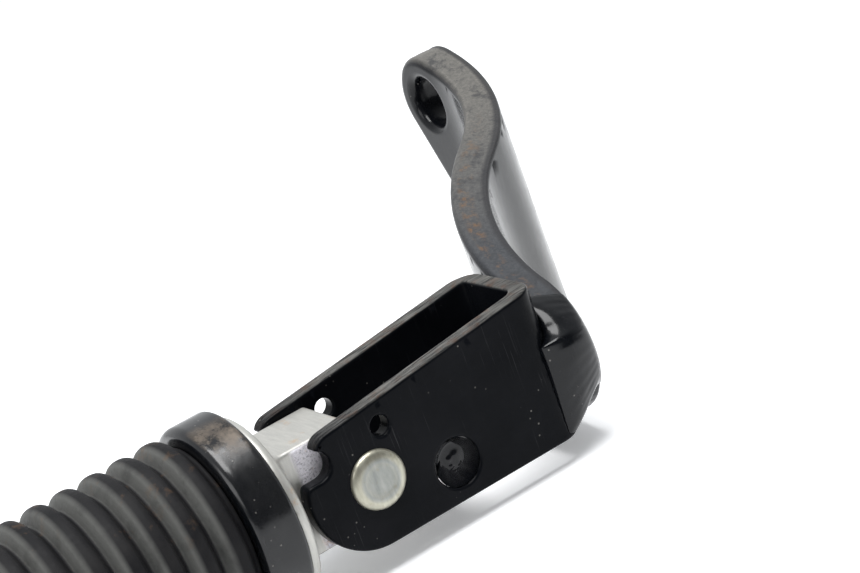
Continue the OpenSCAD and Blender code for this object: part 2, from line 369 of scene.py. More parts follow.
# Linear colours; a pair runs between two tones.
PAINT = (0.002, 0.0025, 0.0035), (0.0055, 0.006, 0.0075)
PAINT_SCRATCH = (0.12, 0.12, 0.125)
DUST_SPECK = (0.26, 0.25, 0.23)
STRIP_STEEL = (0.02, 0.02, 0.02), (0.13, 0.128, 0.12)
STRIP_RUST = (0.075, 0.040, 0.026)
CUT_LIGHT = (0.07, 0.068, 0.064), (0.145, 0.138, 0.125)
CUT_DARK = (0.022, 0.024, 0.028), (0.052, 0.055, 0.06)
CUT_BLOTCH = (0.028, 0.029, 0.032)
CUT_RUST = (0.125, 0.066, 0.028)
CUT_BURR = (0.02, 0.02, 0.022)
# Painted light and shade: the zinc's rims are painted lighter and its flat faces darker.
ZINC_LIT_RIM = (0.29, 0.28, 0.225), (0.44, 0.43, 0.355)
ZINC_SHADED_FACE = (0.19, 0.20, 0.19), (0.29, 0.295, 0.275)
ZINC_STAIN = (0.22, 0.19, 0.12)
CAST_RUBBED = (0.375, 0.37, 0.35), (0.455, 0.45, 0.42)
# Painted light: the raw sides' colour is set far above the rubbed top's, to stand in for light on faces that lie
# in shade.
CAST_RAW_LIT = (0.82, 0.80, 0.85)
CAST_PIT = (0.13, 0.11, 0.15)
CAST_STAIN = (0.46, 0.27, 0.12)
RUBBER = (0.007, 0.007, 0.008), (0.015, 0.0145, 0.015)
# Painted light: the lighter grey of the rubber's outboard flanks.
RUBBER_LIT_FLANK = (0.10, 0.101, 0.096)
RUBBER_DUST = (0.12, 0.072, 0.04)
COLLAR_HAZE = (0.03, 0.03, 0.03)
COLLAR_DUST = (0.15, 0.118, 0.088)
SPRING_STEEL = (0.10, 0.10, 0.11), (0.22, 0.22, 0.23)
BRONZE = (0.42, 0.26, 0.12), (0.62, 0.42, 0.20)
FLOOR = (0.86, 0.87, 0.885), (0.89, 0.895, 0.90)


class Nodes:
    """A small helper that adds and links shader nodes."""

    def __init__(self, name):
        self.material = bpy.data.materials.new(name)
        self.material.use_nodes = True
        self.tree = self.material.node_tree
        self.shader = self.tree.nodes["Principled BSDF"]
        self.bump_out = None

    def link(self, a, b):
        self.tree.links.new(a, b)

    def node(self, kind, **values):
        """Adds a node and sets some of its inputs, with _ for the spaces in their names."""
        made = self.tree.nodes.new("ShaderNode" + kind)
        for name, value in values.items():
            made.inputs[name.replace("_", " ")].default_value = value
        return made

    def coords(self, stretch=(1, 1, 1)):
        """Object coordinates in millimetres; a small stretch draws a texture out along an axis."""
        mapping = self.node("Mapping", Scale=[s * 1000 for s in stretch])
        self.link(self.node("TexCoord").outputs["Object"], mapping.inputs["Vector"])
        return mapping.outputs["Vector"]

    def noise(self, scale, detail=4, roughness=0.6, stretch=(1, 1, 1)):
        """Noise with a feature size of about 1/scale millimetres."""
        n = self.node("TexNoise", Scale=scale, Detail=detail, Roughness=roughness)
        self.link(self.coords(stretch), n.inputs["Vector"])
        return n.outputs["Fac"]

    def cells(self, scale):
        """Distance to scattered points about 1/scale millimetres apart."""
        n = self.node("TexVoronoi", Scale=scale)
        self.link(self.coords(), n.inputs["Vector"])
        return n.outputs["Distance"]

    def ramp(self, value, low, high, a=0.0, b=1.0):
        """Runs from a to b as value runs from low to high, and stays level outside them."""
        n = self.node("MapRange", From_Min=low, From_Max=high, To_Min=a, To_Max=b)
        self.link(value, n.inputs["Value"])
        return n.outputs["Result"]

    def math(self, kind, a, b):
        n = self.node("Math")
        n.operation = kind
        for i, v in enumerate((a, b)):
            if isinstance(v, (int, float)):
                n.inputs[i].default_value = v
            else:
                self.link(v, n.inputs[i])
        return n.outputs[0]

    def times(self, value, *others):
        """The product of two or more values."""
        for other in others:
            value = self.math("MULTIPLY", value, other)
        return value

    def mix(self, share, a, b):
        """Mixes two colours; each is an output or a plain (r, g, b)."""
        n = self.node("Mix")
        n.data_type = "RGBA"
        for socket, v in ((n.inputs[6], a), (n.inputs[7], b)):
            if isinstance(v, tuple):
                socket.default_value = (*v, 1)
            else:
                self.link(v, socket)
        self.link(share, n.inputs[0])
        return n.outputs[2]

    def stored(self, name):
        """A value that Shape stores on every vertex, wear or depth."""
        n = self.node("Attribute")
        n.attribute_name = name
        return n.outputs["Fac"]

    def paint_film(self, gloss):
        """Black paint: colour and roughness, with specks, hairline scratches and orange peel."""
        speck = self.times(self.ramp(self.cells(0.45), 0.12, 0.05),
                           self.ramp(self.noise(0.12, 2), 0.52, 0.62), 0.45)
        film = self.ramp(self.noise(0.06, 5, 0.65), 0.35, 0.75)
        hair = self.times(self.ramp(self.noise(1.0, 3, 0.7, stretch=(2.2, 2.2, 0.05)), 0.62, 0.76),
                          self.ramp(self.noise(0.05, 2), 0.42, 0.65), 0.25)
        color = self.mix(hair, self.mix(film, *PAINT), PAINT_SCRATCH)
        color = self.mix(speck, color, DUST_SPECK)
        rough = self.ramp(self.noise(0.25, 4), 0.3, 0.75, gloss, gloss + 0.12)
        self.bump(self.noise(0.5, 3), 0.05, 0.4)
        return color, rough

    def along(self, which, start, stop, a=0.0, b=1.0):
        """Runs from a to b between two places on an axis, in millimetres from the pivot."""
        split = self.node("SeparateXYZ")
        self.link(self.node("TexCoord").outputs["Object"], split.inputs[0])
        at = "XYZ".index(which)
        place = self.times(split.outputs[at], 1000.0)
        return self.ramp(place, PIVOT[at] / MM + start, PIVOT[at] / MM + stop, a, b)

    def facing(self, which):
        """How far the surface faces along an axis of the part, -1 to 1."""
        split = self.node("SeparateXYZ")
        self.link(self.node("NewGeometry").outputs["Normal"], split.inputs[0])
        return split.outputs["XYZ".index(which)]

    def bump(self, height, distance, strength=1.0):
        """Adds small relief up to about distance millimetres high, on top of any before it."""
        n = self.node("Bump", Strength=strength, Distance=distance * MM)
        self.link(height, n.inputs["Height"])
        if self.bump_out is not None:
            self.link(self.bump_out, n.inputs["Normal"])
        self.bump_out = n.outputs["Normal"]

    def finish(self, color, roughness, metallic, **plain):
        """Sets the shader's inputs; plain names further inputs that hold one number."""
        self.link(color, self.shader.inputs["Base Color"])
        self.shader.inputs["Metallic"].default_value = metallic
        if isinstance(roughness, float):
            self.shader.inputs["Roughness"].default_value = roughness
        else:
            self.link(roughness, self.shader.inputs["Roughness"])
        for name, v in plain.items():
            self.shader.inputs[name.replace("_", " ")].default_value = v
        if self.bump_out is not None:
            self.link(self.bump_out, self.shader.inputs["Normal"])
        return self.material


def weld_metal():
    """Welds and the stop pin, under the same black paint."""
    n = Nodes("weld_metal")
    return n.finish(*n.paint_film(0.10), 0.0, Specular_IOR_Level=0.25)


def strip_paint():
    """The clevis's black paint, rubbed to grey-beige steel along its top edge."""
    n = Nodes("black_paint")
    color, rough = n.paint_film(0.16)
    lines = n.noise(0.9, 5, 0.72, stretch=(0.09, 2.4, 1.2))
    bare = n.times(n.ramp(n.stored("wear"), 0.30, 0.75), n.ramp(n.facing("Z"), 0.15, 0.6),
                   n.along("Z", 10.8, 12.4), n.ramp(lines, 0.32, 0.50),
                   n.along("X", 9, -6, 0.14, 1))
    steel = n.mix(n.ramp(lines, 0.40, 0.62), *STRIP_STEEL)
    rust = n.ramp(n.noise(0.22, 5, 0.7), 0.52, 0.66)
    steel = n.mix(n.times(rust, 0.7), steel, STRIP_RUST)
    color = n.mix(bare, color, steel)
    rough = n.math("ADD", rough, n.times(bare, 0.22))
    n.bump(n.times(lines, bare), 0.10, 0.8)
    return n.finish(color, rough, 0.0, Specular_IOR_Level=0.05)


def arm_steel():
    """Gloss black over hot-rolled plate; the cut edge is rubbed grey and rusty by the clevis."""
    n = Nodes("arm_steel")
    face, face_rough = n.paint_film(0.13)
    depth = n.stored("depth")
    blotch = n.ramp(n.noise(0.22, 6, 0.72), 0.34, 0.62)
    fine = n.ramp(n.noise(1.2, 5, 0.75), 0.30, 0.70)
    cut = n.mix(n.along("Y", -62, -14), n.mix(fine, *CUT_LIGHT), n.mix(fine, *CUT_DARK))
    cut = n.mix(n.times(n.ramp(blotch, 0.5, 0.1), 0.8), cut, CUT_BLOTCH)
    strip = n.times(n.ramp(depth, 0.62, 0.40), n.ramp(depth, 0.04, 0.16))
    rust = n.times(n.ramp(n.noise(0.30, 6, 0.75), 0.50, 0.62), strip, n.along("Y", -60, -38), 0.75)
    cut = n.mix(rust, cut, CUT_RUST)
    cut = n.mix(n.times(n.ramp(depth, 0.80, 0.92), 0.85), cut, CUT_BURR)
    edge = n.times(n.ramp(n.stored("wear"), 0.25, 0.85), n.ramp(n.facing("Z"), -0.1, 0.25))
    color = n.mix(edge, face, cut)
    rough = n.math("ADD", face_rough, n.times(edge, 0.28))
    n.bump(n.times(n.noise(1.6, 5, 0.7), edge), 0.14, 0.9)
    n.bump(n.noise(0.10, 3), 0.10, 0.35)
    return n.finish(color, rough, 0.0, Specular_IOR_Level=0.21)


def zinc():
    """Dull zinc plate: yellowish rims painted lighter and flat faces painted a darker grey, as painted light and
    shade, with brown stains and a fine grain.
    """
    n = Nodes("zinc_plate")
    tone = n.ramp(n.noise(0.30, 5, 0.65, stretch=(1.6, 1, 0.35)), 0.35, 0.7)
    # Painted light and shade: the rims take the lighter tones and the flat faces the darker ones.
    flat = n.ramp(n.math("ABSOLUTE", n.facing("Y"), 0.0), 0.965, 0.998)
    color = n.mix(flat, n.mix(tone, *ZINC_LIT_RIM), n.mix(tone, *ZINC_SHADED_FACE))
    stain = n.times(n.ramp(n.noise(0.5, 5, 0.7), 0.58, 0.72), 0.5)
    color = n.mix(stain, color, ZINC_STAIN)
    rough = n.ramp(n.noise(0.9, 4), 0.3, 0.7, 0.30, 0.46)
    n.bump(n.noise(1.5, 4), 0.05, 0.6)
    return n.finish(color, rough, 0.8)


def cast_aluminium():
    """Raw casting: rubbed top, pitted grain on the tongue's sides, whose colour is brightened as painted light,
    and a few brown stains.
    """
    n = Nodes("cast_aluminium")
    grain = n.noise(2.6, 6, 0.78)
    tone = n.ramp(n.noise(0.9, 4, 0.7, stretch=(1.4, 0.15, 0.15)), 0.35, 0.68)
    side = n.ramp(n.math("ABSOLUTE", n.facing("Y"), 0.0), 0.75, 0.95)
    # The tongue's raw sides: a real pitted casting, with a colour brightened as painted light.
    raw_and_lit = n.times(side, n.along("X", 14.6, 13.4))
    color = n.mix(raw_and_lit, n.mix(tone, *CAST_RUBBED), CAST_RAW_LIT)
    color = n.mix(n.times(n.ramp(grain, 0.50, 0.38), raw_and_lit, 0.85), color, CAST_PIT)
    stain = n.times(n.ramp(n.noise(0.20, 5, 0.7), 0.60, 0.70), 0.5)
    color = n.mix(stain, color, CAST_STAIN)
    rough = n.ramp(grain, 0.3, 0.7, 0.32, 0.52)
    n.bump(n.times(grain, raw_and_lit), 0.5, 0.8)
    n.bump(n.noise(2.0, 5, 0.75), 0.05, 0.6)
    return n.finish(color, rough, 0.6)


def rubber():
    """Matt moulded rubber, its outboard flanks painted a lighter grey as painted light from the outboard side,
    with brown dust on top.
    """
    n = Nodes("rubber")
    tone = n.ramp(n.noise(0.10, 5, 0.65), 0.35, 0.7)
    # Painted light: flanks that face outboard are painted lighter, as if lit from that side.
    lit_flank = n.times(n.ramp(n.facing("X"), 0.15, 0.75),
                    n.ramp(n.noise(0.16, 4, 0.6), 0.15, 0.5, 0.4, 1), 0.85)
    color = n.mix(lit_flank, n.mix(tone, *RUBBER), RUBBER_LIT_FLANK)
    dust = n.times(n.ramp(n.noise(0.14, 5, 0.70), 0.57, 0.72), n.ramp(n.facing("Z"), 0.0, 0.7), 0.5)
    color = n.mix(dust, color, RUBBER_DUST)
    rough = n.ramp(n.noise(0.8, 4), 0.3, 0.7, 0.50, 0.66)
    n.bump(n.noise(2.8, 5, 0.7), 0.07, 0.7)
    n.bump(n.noise(0.25, 3), 0.25, 0.5)
    return n.finish(color, rough, 0.0, Specular_IOR_Level=0.1)


def collar_paint():
    """Gloss black on the collar, with a rubbed grey haze and a brown dusty patch on top."""
    n = Nodes("black_collar")
    color, rough = n.paint_film(0.12)
    haze = n.ramp(n.noise(0.07, 5, 0.65, stretch=(1, 1, 0.5)), 0.46, 0.62)
    color = n.mix(n.times(haze, 0.25), color, COLLAR_HAZE)
    brown = n.ramp(n.noise(0.16, 5, 0.7, stretch=(1, 0.6, 1.6)), 0.42, 0.62)
    shelf = n.times(n.ramp(n.facing("Z"), 0.74, 0.86), n.ramp(n.facing("Y"), 0.10, 0.30))
    dust = n.times(brown, shelf, 0.75)
    color = n.mix(dust, color, COLLAR_DUST)
    rough = n.math("ADD", rough, n.times(dust, 0.35))
    return n.finish(color, rough, 0.0, Specular_IOR_Level=0.36)


def bare_metal(name, tones, roughness):
    """Plain turned or rolled metal between two tones."""
    n = Nodes(name)
    color = n.mix(n.ramp(n.noise(0.5, 5, 0.65), 0.35, 0.7), *tones)
    rough = n.ramp(n.noise(1.2, 4), 0.3, 0.7, roughness, roughness + 0.15)
    n.bump(n.noise(2.5, 4), 0.03, 0.6)
    return n.finish(color, rough, 1.0)


MATERIALS = {
    "arm_steel": arm_steel(),
    "black_paint": strip_paint(),
    "weld_metal": weld_metal(),
    "zinc_plate": zinc(),
    "spring_steel": bare_metal("spring_steel", SPRING_STEEL, 0.35),
    "cast_aluminium": cast_aluminium(),
    "bronze": bare_metal("bronze", BRONZE, 0.35),
    "black_collar": collar_paint(),
    "rubber": rubber(),
}


# ---- the clevis

def wall_front():
    """A wall's front edge in (x, z), from its top corner down round the nose to the bottom."""
    notch_turn = 118
    lip = NOTCH_C[1] - NOTCH_R
    nose_angle = math.degrees(math.asin((lip - NOSE_C[1]) / NOSE_R))
    nose_x = NOSE_C[0] + NOSE_R * math.cos(math.radians(nose_angle))
    drop = CORNER_R * (math.tan(TOP_RISE) - 1 / math.cos(TOP_RISE))
    corner = (FRONT_X - CORNER_R, FRONT_TOP + drop)
    lip_turn = math.degrees(math.asin((NOTCH_C[1] + NOTCH_R - 0.4 - corner[1]) / CORNER_R))
    return loop(
        arc(corner, CORNER_R, 90 - math.degrees(TOP_RISE), lip_turn, 0.4),
        arc(NOTCH_C, NOTCH_R, notch_turn, 270, 0.4),
        line((NOTCH_C[0], lip), (nose_x, lip), 0.5),
        arc(NOSE_C, NOSE_R, nose_angle, -90, 0.6),
    )


FLAT_WEB = WALL_OUT - BEND_R
FLAT_BEND = (BEND_R - STRIP_T / 2) * math.pi / 2
BEND_X = -CLEVIS_BACK + BEND_R


def strip_u(x, side):
    """The flat coordinate of a wall point at x; side is 1 for the near wall."""
    return side * (FLAT_WEB + FLAT_BEND + x - BEND_X)


def strip_x(u):
    """The x of the strip's middle at a flat coordinate."""
    a = abs(u)
    if a > FLAT_WEB + FLAT_BEND:
        return BEND_X + a - FLAT_WEB - FLAT_BEND
    if a > FLAT_WEB:
        return BEND_X - (BEND_R - STRIP_T / 2) * math.cos((a - FLAT_WEB) / FLAT_BEND * math.pi / 2)
    return -CLEVIS_BACK + STRIP_T / 2


def bend_strip(u, v, w):
    """Places a point of the flat strip; w is 0 on the outside and 1 on the inside."""
    depth = w * STRIP_T
    a, side = abs(u), 1 if u >= 0 else -1
    if a > FLAT_WEB + FLAT_BEND:
        return (strip_x(u), side * (WALL_OUT - depth), v)
    if a > FLAT_WEB:
        turn = (a - FLAT_WEB) / FLAT_BEND * math.pi / 2
        r = BEND_R - depth
        return (BEND_X - r * math.cos(turn), side * (FLAT_WEB + r * math.sin(turn)), v)
    return (-CLEVIS_BACK + depth, u, v)


bend_strip.thick = lambda u, v: STRIP_T


def wall_top(x):
    """The height of the clevis's sloping top edge at x."""
    return FRONT_TOP + (FRONT_X - x) * math.tan(TOP_RISE)


def build_clevis():
    """The clevis, laid out as a flat strip with its holes and bent into a U."""
    front = wall_front()
    low = NOSE_C[1] - NOSE_R
    half = strip_u(FRONT_X, 1) - CORNER_R
    count = int(2 * half / 0.8)
    top = [(half - 2 * half * i / count) for i in range(count + 1)]
    top = [(u, wall_top(strip_x(u))) for u in top]
    far = [(strip_u(x, -1), z) for x, z in front]
    near = [(strip_u(x, 1), z) for x, z in reversed(front)]
    bottom = line((strip_u(NOSE_C[0], -1), low), (strip_u(NOSE_C[0], 1), low), 0.8)
    outline = soften(loop(top, far, bottom, near), 3)
    holes = []
    for side in (1, -1):
        for (x, z), r in ((CROSS_HOLE, CROSS_R), (STOP_C, PLUG_R), ((0, 0), PIN_R)):
            holes.append(arc((strip_u(x, side), z), r, 0, 360, 0.45)[:-1])
    shape = Shape()
    plate(shape, outline, holes, bend_strip, (0.8, 0.6), grid=1.8, rough=worn_rim)
    shape.piece("clevis_strip", "bracket", "black_paint", "clevis")


def worn_rim(u, v, w, place):
    """Moves a point of the strip's edge up or down a little."""
    wave = noise.noise(Vector((u * 0.9, v * 0.9, w * 2.0 + SEED)))
    fine = noise.noise(Vector((u * 2.6, v * 2.6, w * 6.0)))
    lift = (0.10 * wave + 0.05 * fine) * (1 if v > 0 else -1)
    return Vector(place(u, v, w)) + Vector((0, 0, lift))


# ---- the plate arm

def arm_face_x(y, depth):
    """The x of the arm's face at y; depth is 0 on the front face, ARM_T on the back."""
    c1 = (-CLEVIS_BACK - NEAR_BEND_R, ARM_TURN_Y)
    mid1 = (c1[0] + NEAR_BEND_R * math.cos(JOGGLE), c1[1] - NEAR_BEND_R * math.sin(JOGGLE))
    mid2 = (mid1[0] - JOGGLE_RUN * math.sin(JOGGLE), mid1[1] - JOGGLE_RUN * math.cos(JOGGLE))
    c2 = (mid2[0] + FAR_BEND_R * math.cos(JOGGLE), mid2[1] - FAR_BEND_R * math.sin(JOGGLE))
    r1, r2 = NEAR_BEND_R - depth, FAR_BEND_R + depth
    if y >= c1[1]:
        return -CLEVIS_BACK - depth
    if y >= c1[1] - r1 * math.sin(JOGGLE):
        return c1[0] + math.sqrt(r1 * r1 - (y - c1[1]) ** 2)
    start = (c1[0] + r1 * math.cos(JOGGLE), c1[1] - r1 * math.sin(JOGGLE))
    if y >= start[1] - JOGGLE_RUN * math.cos(JOGGLE):
        return start[0] - (start[1] - y) * math.tan(JOGGLE)
    if y >= c2[1]:
        return c2[0] - math.sqrt(max(r2 * r2 - (y - c2[1]) ** 2, 0))
    return c2[0] - r2


def arm_place(y, z, w):
    """A point of the arm at depth share w, 0 on the front face and 1 on the back."""
    return ((1 - w) * arm_face_x(y, 0) + w * arm_face_x(y, ARM_T), y, z)


arm_place.thick = lambda y, z: arm_face_x(y, 0) - arm_face_x(y, ARM_T)

ARM_ROUNDS = [(NEAR_END, NEAR_END_R), (LUG_C, LUG_R), (FOOT_C, FOOT_R)]
ARM_MIDDLE = Vector((-44.0, 12.0))


def arm_outline():
    """Three round corners and the tangents that join them, in (y, z)."""
    def tangent(a, b):
        (ax, ay), ra = a
        (bx, by), rb = b
        lean = math.acos((ra - rb) / math.dist((ax, ay), (bx, by)))
        return math.degrees(math.atan2(by - ay, bx - ax)) - math.degrees(lean)

    runs = []
    for i, this in enumerate(ARM_ROUNDS):
        start = tangent(ARM_ROUNDS[i - 1], this)
        stop = tangent(this, ARM_ROUNDS[(i + 1) % 3])
        runs.append(arc(this[0], this[1], start, stop + 360 if stop < start else stop))
    joined = []
    for i, run in enumerate(runs):
        joined += run + line(run[-1], runs[(i + 1) % 3][0])
    return loop(joined)


def sheared(y, z, w, place):
    """Moves a point of the plate's cut edge inwards: torn and pitted towards the back."""
    torn = min(max((w - 0.25) * 2.0, 0.0), 1.0)
    wave = noise.noise(Vector((y * 0.35, z * 0.35, w * 3.0)))
    pit = noise.noise(Vector((y * 1.3, z * 1.3, w * 9.0)))
    out = (Vector((y, z)) - ARM_MIDDLE).normalized()
    out *= min(0.16 * wave + 0.16 * pit * torn - 0.12 * torn, 0.0)
    return Vector(place(y + out.x, z + out.y, w))


def build_arm():
    """The joggled plate with one round bolt hole in its lug."""
    shape = Shape()
    hole = arc(LUG_C, BOLT_R, 0, 360, 0.6)[:-1]
    plate(shape, arm_outline(), [hole], arm_place, (1.9, 0.8), grid=2.4, levels=10, rough=sheared)
    shape.piece("joggled_arm", "bracket", "arm_steel", "arm_plate")


# ---- welds

def weld(shape, foot_a, foot_b, inner, out, bulge, rows=90, columns=18):
    """A bead between two feet. Each of them takes s, the share along the bead, as inner and out
    do; bulge(s, t) gives how far the surface stands out at t, the share from foot a to foot b."""
    sections = []
    for i in range(rows + 1):
        s = i / rows
        a, b, o = Vector(foot_a(s)), Vector(foot_b(s)), Vector(out(s))
        shares = [j / columns for j in range(columns + 1)]
        points = [a.lerp(b, t) + o * bulge(s, t) for t in shares]
        sections.append(shape.add(points + [Vector(inner(s))]))
    shape.skin(sections)


def bead_ripple(s, t, pitch, seed):
    """The curved ripples that a bead freezes into, with a slower wander, in millimetres."""
    crest = math.sin(2 * math.pi * (s / pitch - 1.2 * (t - 0.5) ** 2))
    wander = noise.noise(Vector((s * 6, t * 2.5, seed)))
    fine = noise.noise(Vector((s * 22, t * 7, seed + 3)))
    return 0.03 * crest + 0.28 * wander + 0.04 * fine


def swell(s, power=0.5):
    """Rises from 0 at both ends of a bead to 1 along it."""
    return max(math.sin(math.pi * min(max(s, 0.0), 1.0)), 0.0) ** power


def bend_x(y):
    """The x of the clevis's outer surface behind and round its near bend."""
    over = max(y - (WALL_OUT - BEND_R), 0.0)
    return BEND_X - math.sqrt(max(BEND_R ** 2 - over ** 2, 0.0))


def round_end(radius, degrees, x):
    """A point about the centre of the arm's round near end."""
    a = math.radians(degrees)
    return (x, NEAR_END[0] + radius * math.cos(a), NEAR_END[1] + radius * math.sin(a))


def build_near_weld():
    """The fillet weld round the near bend: thin at the top, then a hump and a long lower leg."""
    thin_leg, more_leg, grow_from, grow_over = 1.0, 6.5, 0.28, 0.25
    hump_rise, hump_at, hump_width = 2.6, 0.44, 0.24

    def foot_a(s):
        grown = min(max((s - grow_from) / grow_over, 0.0), 1.0)
        leg = (thin_leg + more_leg * grown * grown * (3 - 2 * grown)) * swell(s, 0.35)
        _, y, z = round_end(NEAR_END_R + leg, 64 - 124 * s, 0)
        y = min(y, WALL_OUT - 0.2)
        z = max(z, NOSE_C[1] - NOSE_R + 0.5)
        return (bend_x(y) + 0.15, y, z)

    def foot_b(s):
        lap = 0.9 * swell(s, 0.4) - 0.4
        return round_end(NEAR_END_R + lap, 48 - 80 * s, -CLEVIS_BACK - ARM_T + 0.2)

    def inner(s):
        return round_end(NEAR_END_R - 3.0, 56 - 102 * s, -CLEVIS_BACK - 3.0)

    def out(s):
        a = math.radians(56 - 104 * s)
        return Vector((-0.10, math.cos(a), math.sin(a))).normalized()

    def bulge(s, t):
        across = math.sin(math.pi * t)
        hump = hump_rise * math.exp(-((s - hump_at) / hump_width) ** 2) * across ** 0.7
        return swell(s) * across ** 0.5 * (0.4 + bead_ripple(s, t, 0.07, 2)) + hump

    shape = Shape()
    weld(shape, foot_a, foot_b, inner, out, bulge)
    shape.piece("weld_near_bead", "bracket", "weld_metal", "weld_bead_near")


def build_far_weld():
    """The straight fillet weld in the corner between the far wall and the arm's front face."""
    low, high, leg, rise = -11.0, 16.0, 3.4, 0.9

    def z_at(s):
        return low + (high - low) * s

    def foot_a(s):
        return (-CLEVIS_BACK + 4.2, -WALL_OUT + 0.1 * (1 - swell(s)), z_at(s))

    def foot_b(s):
        y = -WALL_OUT - leg * swell(s, 0.35)
        return (arm_face_x(y, 0) - 0.1, y, z_at(s))

    def inner(s):
        return (-CLEVIS_BACK + 1.0, -WALL_OUT + 4.0, z_at(s))

    def bulge(s, t):
        return swell(s) * math.sin(math.pi * t) ** 0.6 * (rise + bead_ripple(s, t, 0.08, 5))

    shape = Shape()
    weld(shape, foot_a, foot_b, inner, lambda s: (0.35, -0.94, 0), bulge)
    shape.piece("weld_far_bead", "bracket", "weld_metal", "weld_bead_far")


def on_stop(side):
    """Maps (along, side, up) to a point about the stop pin's axis, along going outward."""
    return lambda along, a, b: (STOP_C[0] + a, side * along, STOP_C[1] + b)


def build_stop_weld(side, node):
    """Weld metal in a wall's plug hole: a sunk, uneven bowl with four frozen drops."""
    weld_r = PLUG_R - 0.02
    sunk, bank, bank_power = 12.45, 1.55, 4.5
    pool_rise, pool_at, pool_width = 0.85, (-0.5, 0.9), 2.3
    # Each drop's place beside and above the centre, its radius and its rise.
    drops = [(1.3, 1.0, 0.6, 0.35), (1.2, -0.7, 0.65, 0.45), (-0.6, -0.6, 0.6, 0.3),
             (0.6, -2.2, 0.55, 0.4)]

    def mound(a, b, at, width, rise):
        return rise * math.exp(-((a - at[0]) ** 2 + (b - at[1]) ** 2) / width ** 2)

    def height(a, b):
        r = math.hypot(a, b) / PLUG_R
        pool = mound(a, b, pool_at, pool_width, pool_rise)
        wander = 0.12 * noise.noise(Vector((a * 0.40, b * 0.40, 3.0 + side)))
        h = sunk + pool + bank * r ** bank_power + wander
        return h + sum(mound(a, b, (x, z), width, rise) for x, z, width, rise in drops)

    place = on_stop(side)
    shape = Shape()
    segments, rings = 96, 26
    turns = [2 * math.pi * k / segments for k in range(segments)]
    made = []
    for i in range(rings):
        radius = weld_r * (i + 1) / rings
        spots = [(radius * math.cos(t), radius * math.sin(t)) for t in turns]
        made.append(shape.add([place(height(a, b), a, b) for a, b in spots]))
    # These points span about 100 degrees of the hole's inner end, not the whole of it.
    inner_rim = arc((0, 0), weld_r, 0, 360 - 360 / segments, 0.1)[:segments]
    made.append(shape.add([place(WALL_OUT - STRIP_T + 0.4, *p) for p in inner_rim]))
    middle = shape.add([place(height(0, 0), 0, 0)])[0]
    for k in range(segments):
        shape.faces.append((middle, made[0][k], made[0][(k + 1) % segments]))
    shape.join(made)
    shape.faces.append(tuple(made[-1]))
    shape.piece(node + "_metal", "bracket", "weld_metal", node)


# ---- turned pieces

def about_pin(along, side, up):
    """A point about the pivot pin's axis."""
    return (side, along, up)


def rounded(points, radius, step=0.25):
    """Rounds the inner corners of an open profile of (along, radius) pairs."""
    made = [points[0]]
    for before, at, after in zip(points, points[1:], points[2:]):
        at, a, b = Vector(at), Vector(before) - Vector(at), Vector(after) - Vector(at)
        r = min(radius, a.length * 0.45, b.length * 0.45)
        start, stop = at + a.normalized() * r, at + b.normalized() * r
        count = max(2, int(r / step))
        for i in range(count + 1):
            t = i / count
            made.append(tuple(start * (1 - t) ** 2 + at * 2 * t * (1 - t) + stop * t ** 2))
    made.append(points[-1])
    return made


def ring(name, place, low, high, inner, outer, edge, body, slot, node, segments=120):
    """A washer or bush: a tube with rounded edges."""
    middle = (inner + outer) / 2
    profile = rounded([(low, middle), (low, outer), (high, outer), (high, inner), (low, inner),
                       (low, middle)], edge)[:-1]
    shape = Shape()
    lathe(shape, profile, place, segments)
    shape.piece(name, body, slot, node)


def build_pivot_pin():
    """A headed pin: a low dome with a slightly dished face, and a chamfered tail."""
    tail, top, under = SPLIT_Y - 3.0, WALL_OUT + PIN_HEAD_H, WALL_OUT - 0.02
    flat_r, dish = 3.8, 0.12
    dome = [(WALL_OUT + PIN_HEAD_H * math.sin(a), flat_r + (PIN_HEAD_R - flat_r) * math.cos(a))
            for a in (math.pi / 2 * i / 14 for i in range(15))]
    profile = [(tail, 0.6), (tail, 3.0), (tail + 0.9, PIN_SHANK_R - 0.03),
               (WALL_OUT - 0.3, PIN_SHANK_R), (under, PIN_SHANK_R + 0.01),
               (under, PIN_HEAD_R - 0.25)]
    profile += dome
    profile += [(top - 0.08, flat_r - 0.3), (top - dish, 1.5), (top - dish, 0.3)]
    shape = Shape()
    lathe(shape, profile, about_pin, 128, closed=False)
    shape.piece("clevis_pin", "bracket", "zinc_plate", "pivot_pin")


def tube(shape, path, radius, sides=14):
    """A round bar along a path of points, with domed ends."""
    path = [Vector(p) for p in path]
    tangents = [(b - a).normalized() for a, b in zip(path, path[1:])]
    inner = [(a + b).normalized() for a, b in zip(tangents, tangents[1:])]
    tangents = [tangents[0]] + inner + [tangents[-1]]
    normal = tangents[0].orthogonal().normalized()
    turns = [2 * math.pi * k / sides for k in range(sides)]
    dome = [(0.6, 0.8), (0.9, 0.35)]
    rows = []
    for i, (p, t) in enumerate(zip(path, tangents)):
        normal = (normal - t * normal.dot(t)).normalized()
        across = t.cross(normal)
        steps = [(0, 1.0)]
        if i == 0:
            steps = [(-move, share) for move, share in dome[::-1]] + steps
        elif i == len(path) - 1:
            steps = steps + dome
        for move, share in steps:
            rows.append(shape.add([
                p + t * radius * move
                + (normal * math.cos(a) + across * math.sin(a)) * radius * share for a in turns]))
    shape.skin(rows)


